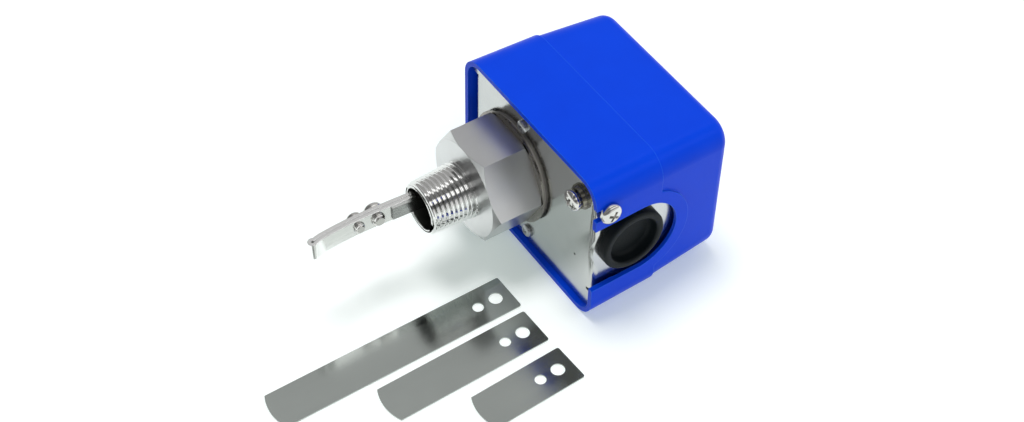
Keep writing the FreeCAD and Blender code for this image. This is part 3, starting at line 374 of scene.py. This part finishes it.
def cut_by(bm, cutter):
    """Boolean difference of two closed meshes in local millimetres."""
    made = []
    for name, mesh in (("whole", bm), ("cutter", cutter)):
        bmesh.ops.recalc_face_normals(mesh, faces=mesh.faces)
        data = bpy.data.meshes.new(name)
        mesh.to_mesh(data)
        mesh.free()
        made.append(bpy.data.objects.new(name, data))
        bpy.context.scene.collection.objects.link(made[-1])
    whole, tool = made
    modifier = whole.modifiers.new("cut", "BOOLEAN")
    modifier.object = tool
    modifier.operation = "DIFFERENCE"
    modifier.solver = "EXACT"
    graph = bpy.context.evaluated_depsgraph_get()
    result = bmesh.new()
    result.from_mesh(whole.evaluated_get(graph).to_mesh())
    for item in made:
        data = item.data
        bpy.data.objects.remove(item)
        bpy.data.meshes.remove(data)
    return result


def merged(meshes):
    """One mesh that holds several pieces of the same kind."""
    whole = bmesh.new()
    for mesh in meshes:
        data = bpy.data.meshes.new("part")
        mesh.to_mesh(data)
        mesh.free()
        whole.from_mesh(data)
        bpy.data.meshes.remove(data)
    return whole


# ---------------------------------------------------------------- body fitting
THREAD_PITCH = 1.814
THREAD_DEPTH = 1.05
THREAD_LENGTH = 17.4            # from the fitting's free end
THREAD_RUNOUT = 0.4
THREAD_SLOPE = 0.05             # how much the radius grows for each millimetre towards the hexagon
THREAD_STEPS = 120              # points in one turn
GAUGE_R = 10.4775               # crest radius at the gauge plane, where x is 0
SHANK_END = 18.7                # from the fitting's free end to the hexagon
SHANK_R = 10.72
BORE_R = 8.15
LEAD_WALL = 1.05                # wall at the free end, where the lead-in chamfer starts
LEAD_RISE = 1.3                 # how much that chamfer rises for each millimetre
TURNED_SLOT, BORE_SLOT = 1, 2   # the piece's material slots; slot 0 is the hexagon's


def front_of_fitting(bm, start, stop):
    """The thread and the bore inside it, from the fitting's free end to the shank's plain part."""
    def crest(along):
        return min(GAUGE_R + THREAD_SLOPE * along, BORE_R + LEAD_WALL + (along - start) * LEAD_RISE)

    helix(bm, crest, THREAD_DEPTH, THREAD_PITCH, start, stop, THREAD_RUNOUT, THREAD_STEPS)
    bore_mouth = [(start + 0.5, BORE_R), (start + 0.15, BORE_R + 0.12), (start, BORE_R + 0.45)]
    end_face_rim = (start, crest(start) - THREAD_DEPTH * 0.1)
    lathe(bm, [(stop, BORE_R), *bore_mouth, end_face_rim], THREAD_STEPS)
    neck = [(stop - 0.02, crest(stop) - 0.3), (stop, crest(stop)),
            (stop + 0.25, crest(stop) + 0.1)]
    lathe(bm, [*neck, (stop + 0.5, SHANK_R)], THREAD_STEPS)


def make_fitting():
    """The hexagon keeps the solid's mesh; the thread in front of it is a real helix."""
    low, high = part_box("body_fitting")
    start = low[0] / MM
    stop = start + THREAD_LENGTH
    bm = bmesh.new()
    bm.from_mesh(nodes["body_fitting"].data)
    bmesh.ops.bisect_plane(bm, geom=bm.verts[:] + bm.edges[:] + bm.faces[:], dist=1e-6,
                           plane_co=(stop * MM, 0, 0), plane_no=(1, 0, 0), clear_inner=True)
    bmesh.ops.scale(bm, vec=(1 / MM, 1 / MM, 1 / MM), verts=bm.verts)
    front_of_fitting(bm, start, stop)
    bmesh.ops.scale(bm, vec=(MM, MM, MM), verts=bm.verts)
    piece = add_object("pipe_thread_fitting", bm, "hexagon", "housing", "body_fitting")
    piece.data.materials.append(looks["turned"])
    piece.data.materials.append(looks["bore"])
    hexagon_front = (start + SHANK_END) * MM
    bore_limit = BORE_R + 0.02
    for polygon in piece.data.polygons:
        off_axis = math.hypot(polygon.center.y, polygon.center.z) / MM
        # faces inside the bore take the near-black material, which is painted shade
        if off_axis < bore_limit:
            polygon.material_index = BORE_SLOT
        elif polygon.center.x < hexagon_front:
            polygon.material_index = TURNED_SLOT


make_fitting()


# ---------------------------------------------------------------- grommet
GROMMET_SEAT = 2.6              # from the solid's outer face to the flange that holds it
GROMMET_LIP = 3.8               # how far the outer lip stands out of the flange
GROMMET_LIP_R = 12.8
GROMMET_DISH_R = 10.0
GROMMET_GROOVE_R = 11.05        # bottom of the groove that the flange sits in
GROMMET_GROOVE = 1.5            # width of that groove
GROMMET_END = 3.3               # from the flange's outer face to the inner lip's end
GROMMET_INNER_LIP_R = 12.2
GROMMET_INNER_TAPER = 1.0       # how far the inner lip narrows to its end
GROMMET_INNER_DISH_R = 9.4
GROMMET_STEPS = 128


def quarter_round(centre, radius, first):
    """A quarter circle in a lathe's profile, as (along, radius) points; first is in degrees."""
    along, off_axis = centre
    turns = [math.radians(first - 15 * step) for step in range(7)]
    return [(along + radius * math.sin(turn), off_axis + radius * math.cos(turn)) for turn in turns]


def make_grommet():
    """Blank rubber grommet: a rounded lip, a wide dish with a thin skin, a narrower lip inside."""
    low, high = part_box("conduit_grommet")
    flange = low[1] / MM + GROMMET_SEAT
    lip, lip_r, dish_r = GROMMET_LIP, GROMMET_LIP_R, GROMMET_DISH_R
    dish = [(-0.7, 0), (-0.6, dish_r - 2.6), (-0.4, dish_r - 1.4), (0.2, dish_r - 0.8),
            (1.0, dish_r - 0.5)]
    dish_edge = quarter_round((lip - 0.9, dish_r + 0.7), 0.9, first=180)
    lip_edge = quarter_round((lip - 1.1, lip_r - 1.1), 1.1, first=90)
    groove = [(0, lip_r), (0, GROMMET_GROOVE_R), (-GROMMET_GROOVE, GROMMET_GROOVE_R)]
    inner_lip = [(-GROMMET_GROOVE, GROMMET_INNER_LIP_R),
                 (-GROMMET_END, GROMMET_INNER_LIP_R - GROMMET_INNER_TAPER)]
    inner_dish = [(-GROMMET_END, GROMMET_INNER_DISH_R),
                  (-GROMMET_GROOVE, GROMMET_INNER_DISH_R - 0.2), (-GROMMET_GROOVE, 0)]
    bm = bmesh.new()
    lathe(bm, dish + dish_edge + lip_edge + groove + inner_lip + inner_dish, GROMMET_STEPS)
    place(bm, ((low[0] + high[0]) / 2 / MM, flange, (low[2] + high[2]) / 2 / MM), (0, -1, 0))
    add_object("cable_grommet", bm, "rubber", "housing", "conduit_grommet")


make_grommet()


# ---------------------------------------------------------------- screws
ScrewSize = namedtuple("ScrewSize", "shank_r head_r head_height length pitch")
COVER_SCREW = ScrewSize(shank_r=2.0, head_r=4.15, head_height=2.8, length=6.0, pitch=0.8)
EARTH_SCREW = ScrewSize(shank_r=2.0, head_r=4.0, head_height=2.6, length=10.5, pitch=0.7)
PLATE_SCREW = ScrewSize(shank_r=1.5, head_r=2.6, head_height=1.7, length=6.0, pitch=0.5)
BIG_CLAMP_SCREW = ScrewSize(shank_r=2.5, head_r=4.1, head_height=3.0, length=4.65, pitch=0.8)
SMALL_CLAMP_SCREW = ScrewSize(shank_r=2.0, head_r=3.3, head_height=2.5, length=4.65, pitch=0.7)

# The head. Radii are shares of the head's radius, and heights are shares of its height.
HEAD_STEPS = 48
HEAD_UNDERSIDE_R = 0.97
HEAD_RIM = 0.12                 # height of the widest place
DOME_BASE = 0.30                # height of the centre of the dome's curve
DOME_FIRST = 10                 # degrees up that curve where it is first used
DOME_PARTS = 8
DOME_FULLNESS = 0.62            # 1 is a round dome, and less is fuller
# The cross recess. An arm's half length and half width are shares of the head's radius.
RECESS_DEPTH = 0.72             # share of the head's height
RECESS_LENGTH = 0.56
RECESS_WIDTH = 0.13
RECESS_MOUTH = 1.25             # an arm's size at the cutter's outer end, times its named size
RECESS_FLOOR = 0.45             # its size at the recess's floor, likewise
RECESS_TAPER = 0.4              # how much of that change the arm's width follows
RECESS_ABOVE = 1.0              # how far the cutter stands out above the head
# The shank. The thread's depth and the tip's chamfer are shares of the shank's radius.
SHANK_STEPS = 40
SHANK_THREAD = 0.16
TIP_CHAMFER = 0.3
SHANK_START = 0.01              # from under the head to the thread

# Places in the frame.
COVER_SCREW_DEPTH = 5.3         # from the cover's rim
COVER_SCREW_PLAY = 0.05         # under the heads
COVER_SCREW_HEIGHTS = (21.8, -17.0)             # z on the side of the cable entry and opposite
EARTH_SCREW_YZ = (-41.6, 21.3)
EARTH_WASHERS = 3.1             # height of the stack under the earth screw's head
PLATE_SCREWS_YZ = ((-5.6, 24.4), (-10.3, -25.6))
LEVER_TILT = math.radians(-3.0)     # of the rest stop from mid travel
PIVOT_X = 43.0
PADDLE_END_X = PIVOT_X - 59.7   # where the square end of a fitted paddle would be
CARRIER_FACE = 3.3              # from the lever's middle to the face that the clamp screws sit on


def recess_arm(size, turn):
    """Cutter for one tapered arm of the cross recess, in the head's own place."""
    mouth = (-size.head_height - RECESS_ABOVE, RECESS_MOUTH)
    floor = (-size.head_height + size.head_height * RECESS_DEPTH, RECESS_FLOOR)
    cutter = bmesh.new()
    corners = []
    for along, share in (mouth, floor):
        half_length = size.head_r * RECESS_LENGTH * share
        half_width = size.head_r * RECESS_WIDTH * (1 - RECESS_TAPER + RECESS_TAPER * share)
        for side_y, side_z in ((-1, -1), (1, -1), (1, 1), (-1, 1)):
            corners.append(cutter.verts.new((along, side_y * half_length, side_z * half_width)))
    faces = ((0, 1, 2, 3), (4, 5, 6, 7), (0, 1, 5, 4), (1, 2, 6, 5), (2, 3, 7, 6), (3, 0, 4, 7))
    for indices in faces:
        cutter.faces.new([corners[index] for index in indices])
    rotation = Matrix.Rotation(turn, 3, "X")
    bmesh.ops.rotate(cutter, cent=(0, 0, 0), matrix=rotation, verts=cutter.verts)
    return cutter


def pan_head(size):
    """Domed head with a cross recess: its underside is at local x = 0 and it rises towards -X."""
    profile = [(0, 0), (0, size.head_r * HEAD_UNDERSIDE_R),
               (-size.head_height * HEAD_RIM, size.head_r)]
    for part in range(DOME_PARTS + 1):
        angle = math.radians(DOME_FIRST + (90 - DOME_FIRST) * part / DOME_PARTS)
        height = size.head_height * (DOME_BASE + (1 - DOME_BASE) * math.sin(angle))
        profile.append((-height, size.head_r * math.cos(angle) ** DOME_FULLNESS))
    head = bmesh.new()
    lathe(head, profile, HEAD_STEPS)
    for turn in (0, math.pi / 2):
        head = cut_by(head, recess_arm(size, turn))
    return head


def screw(origin, direction, size, turn):
    """Pan head screw in the frame: origin is under the head, direction is the shank's way."""
    tip = size.shank_r * TIP_CHAMFER

    def crest(along):
        return min(size.shank_r, size.shank_r - tip + (size.length - along))

    bm = pan_head(size)
    helix(bm, crest, size.shank_r * SHANK_THREAD, size.pitch, SHANK_START, size.length,
          size.pitch / 2, SHANK_STEPS)
    lathe(bm, [(size.length, 0), (size.length, size.shank_r - tip)], SHANK_STEPS)
    place(bm, origin, direction, turn)
    return bm


def make_cover_screws():
    """One screw through each end wall of the cover."""
    low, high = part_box("cover")
    x = low[0] / MM + COVER_SCREW_DEPTH
    near_y = low[1] / MM - COVER_SCREW_PLAY
    far_y = high[1] / MM + COVER_SCREW_PLAY
    near_z, far_z = COVER_SCREW_HEIGHTS
    near = screw((x, near_y, near_z), (0, 1, 0), COVER_SCREW, turn=0.5)
    far = screw((x, far_y, far_z), (0, -1, 0), COVER_SCREW, turn=1.1)
    add_object("cover_screw_pair", merged([near, far]), "nickel", "housing", "cover_screws")


def make_plate_screws():
    """The earth screw on its washers, and the two screws that hold the mechanism's frame."""
    plate_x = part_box("base_plate")[0][0] / MM
    inwards = (1, 0, 0)
    earth = screw((plate_x - EARTH_WASHERS, *EARTH_SCREW_YZ), inwards, EARTH_SCREW, turn=0.3)
    add_object("earth_terminal_screw", earth, "nickel", "housing", "earth_screw")
    pair = [screw((plate_x, *place_yz), inwards, PLATE_SCREW, turn)
            for place_yz, turn in zip(PLATE_SCREWS_YZ, (0.2, 0.9))]
    add_object("plate_screw_pair", merged(pair), "zinc", "housing", "plate_screws")


def tilted(point):
    """Turns a point of the lever from mid travel to the rest stop."""
    turn = Matrix.Rotation(LEVER_TILT, 4, "Z")
    pivot = Vector((PIVOT_X, 0, 0))
    return turn @ (Vector(point) - pivot) + pivot


def make_clamp_screws():
    """The two screws that clamp a paddle to the carrier, at its holes' distances from its end."""
    away = Matrix.Rotation(LEVER_TILT, 4, "Z") @ Vector((0, -1, 0))
    for name, node, from_end, size in (
            ("clamp_screw_large", "clamp_screw_big", 6.05, BIG_CLAMP_SCREW),
            ("clamp_screw_slim", "clamp_screw_small", 13.65, SMALL_CLAMP_SCREW)):
        shape = screw(tilted((PADDLE_END_X - from_end, CARRIER_FACE, 0)), away, size, turn=0.7)
        add_object(name, shape, "nickel", "lever", node)


make_cover_screws()
make_plate_screws()
make_clamp_screws()


# ---------------------------------------------------------------- range spring
def make_spring():
    """The spring in two halves, front and rear, each closed over the cut."""
    low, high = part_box("range_spring")
    middle, y, z = ((low[axis] + high[axis]) / 2 for axis in range(3))
    for name, body, end, side in (("range_spring_front", "nut", low[0], 1),
                                  ("range_spring_rear", "lever", high[0], -1)):
        bm = bmesh.new()
        bm.from_mesh(nodes["range_spring"].data)
        cut = bmesh.ops.bisect_plane(bm, geom=bm.verts[:] + bm.edges[:] + bm.faces[:], dist=1e-7,
                                     plane_co=(middle, 0, 0), plane_no=(side, 0, 0),
                                     clear_outer=True)
        rim = [item for item in cut["geom_cut"] if isinstance(item, bmesh.types.BMEdge)]
        bmesh.ops.holes_fill(bm, edges=rim)
        half = add_object(name, bm, "spring", None, "range_spring")
        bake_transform(half)


make_spring()


# ---------------------------------------------------------------- floor, lights and camera
FLOOR_SIZE = 3.0                # metres
FLOOR_GAP = 0.02                # under the lowest piece
FLOOR_GLOW = (0.18, 0.23, 0.21, 1)

# The room's light round the pipe's axis, as (degrees, strength): 0 is level towards +Y, 90 is
# straight up and 180 is level towards -Y. Below level, the first strength holds all round.
ROOM_STRIPS = ((0, 0.55), (45, 0.50), (57, 0.60), (73, 0.55), (76, 1.6), (86, 1.6), (89, 0.25),
               (116, 0.22), (121, 1.5), (136, 1.5), (140, 0.13), (153, 0.16), (160, 0.70),
               (180, 1.00))
ROOM_DIM = 0.35                 # share of that light from the room's end in front of the thread
ROOM_DIM_X, ROOM_FULL_X = -0.2, 0.1             # where it is dimmest and full, as a direction's x

CAMERA_PLACE = (-229.4, -383.0, 484.0)
CAMERA_HEADING = math.radians(-34.381)          # from +Y, and less than 0 is to the right
CAMERA_DOWN = math.radians(48.462)
CAMERA_ROLL = math.radians(1.24)                # how far its right side tilts up
FOCAL_LENGTH = 65.07
SENSOR_WIDTH = 36.0
LENS_SHIFT = (-0.0017, 0.0255)                  # shares of the picture's width
CLIP_START = 0.01                               # metres


def seen_or_mirrored(tree):
    """1 for rays from the camera and for those that a mirror or a clear piece passes on."""
    path = tree.nodes.new("ShaderNodeLightPath")
    seen = path.outputs["Is Camera Ray"]
    for ray in ("Is Glossy Ray", "Is Transmission Ray"):
        either = tree.nodes.new("ShaderNodeMath")
        either.operation = "MAXIMUM"
        tree.links.new(seen, either.inputs[0])
        tree.links.new(path.outputs[ray], either.inputs[1])
        seen = either.outputs["Value"]
    return seen


def floor_material():
    """Pale paper that looks a little brighter than the light on it makes it."""
    material, tree, shader = new_material("pale_floor")
    tone = noise(tree, coordinates(tree), scale=0.01, detail=2)
    colour = mixed(tree, tone, (0.93, 0.935, 0.94), (0.95, 0.95, 0.95))
    tree.links.new(colour, shader.inputs["Base Color"])
    shader.inputs["Roughness"].default_value = 0.7
    glow = tree.nodes.new("ShaderNodeEmission")
    glow.inputs["Color"].default_value = FLOOR_GLOW
    tree.links.new(seen_or_mirrored(tree), glow.inputs["Strength"])
    both = tree.nodes.new("ShaderNodeAddShader")
    tree.links.new(shader.outputs["BSDF"], both.inputs[0])
    tree.links.new(glow.outputs["Emission"], both.inputs[1])
    tree.links.new(both.outputs["Shader"], tree.nodes["Material Output"].inputs["Surface"])
    return material


def make_floor():
    floor_z = cad_box[0][2]
    bpy.ops.mesh.primitive_plane_add(size=FLOOR_SIZE, location=(0, 0, floor_z - FLOOR_GAP * MM))
    floor = bpy.context.object
    floor.name = "floor"
    floor.data.materials.append(floor_material())


def soft_light(name, direction, strength, spread_degrees):
    """Even light from one side of the room, soft as from a large panel, that no piece mirrors."""
    data = bpy.data.lights.new(name, "SUN")
    data.energy = strength
    data.angle = math.radians(spread_degrees)
    light = bpy.data.objects.new(name, data)
    bpy.context.scene.collection.objects.link(light)
    light.location = direction
    light.rotation_euler = Vector(direction).to_track_quat("Z", "Y").to_euler()
    light.visible_glossy = False


def paint_strips(ramp):
    """Sets a new colour ramp, which has one stop at each end, to the room's strips."""
    for degrees, strength in ROOM_STRIPS[1:-1]:
        ramp.elements.new(degrees / 180)
    for stop, (degrees, strength) in zip(ramp.elements, ROOM_STRIPS):
        stop.color = (strength, strength, strength, 1)


def make_world():
    """Room light in strips along the pipe's axis: two bright ones high up, and dark beside them."""
    world = bpy.data.worlds.new("room")
    world.use_nodes = True
    bpy.context.scene.world = world
    tree = world.node_tree
    source = tree.nodes.new("ShaderNodeTexCoord")
    split = tree.nodes.new("ShaderNodeSeparateXYZ")
    angle = tree.nodes.new("ShaderNodeMath")
    angle.operation = "ARCTAN2"
    half_turns = tree.nodes.new("ShaderNodeMath")
    half_turns.operation = "DIVIDE"
    half_turns.inputs[1].default_value = math.pi
    strips = tree.nodes.new("ShaderNodeValToRGB")
    tree.links.new(source.outputs["Generated"], split.inputs["Vector"])
    tree.links.new(split.outputs["Z"], angle.inputs[0])
    tree.links.new(split.outputs["Y"], angle.inputs[1])
    tree.links.new(angle.outputs["Value"], half_turns.inputs[0])
    tree.links.new(half_turns.outputs["Value"], strips.inputs["Fac"])
    paint_strips(strips.color_ramp)
    background = tree.nodes["Background"]
    tree.links.new(strips.outputs["Color"], background.inputs["Color"])
    strength = spread(tree, split.outputs["X"], ROOM_DIM, 1.0, ROOM_DIM_X, ROOM_FULL_X)
    tree.links.new(strength, background.inputs["Strength"])


def make_camera():
    level = math.cos(CAMERA_DOWN)
    view = Vector((-math.sin(CAMERA_HEADING) * level, math.cos(CAMERA_HEADING) * level,
                   -math.sin(CAMERA_DOWN)))
    right = view.cross(Vector((0, 0, 1))).normalized()
    up = right.cross(view)
    rolled_right = right * math.cos(CAMERA_ROLL) + up * math.sin(CAMERA_ROLL)
    rolled_up = up * math.cos(CAMERA_ROLL) - right * math.sin(CAMERA_ROLL)
    data = bpy.data.cameras.new("camera")
    data.lens = FOCAL_LENGTH
    data.sensor_width = SENSOR_WIDTH
    data.shift_x, data.shift_y = LENS_SHIFT
    data.clip_start = CLIP_START
    camera = bpy.data.objects.new("camera", data)
    bpy.context.scene.collection.objects.link(camera)
    rotation = Matrix((rolled_right, rolled_up, -view)).transposed()
    camera.matrix_world = Matrix.Translation(Vector(CAMERA_PLACE) * MM) @ rotation.to_4x4()
    bpy.context.scene.camera = camera


make_floor()
make_world()
soft_light("key", (-0.05, 0.18, 0.85), strength=1.5, spread_degrees=24)
soft_light("front", (-0.35, -0.6, 0.45), strength=0.5, spread_degrees=50)
make_camera()
bpy.context.scene.view_settings.view_transform = "Standard"
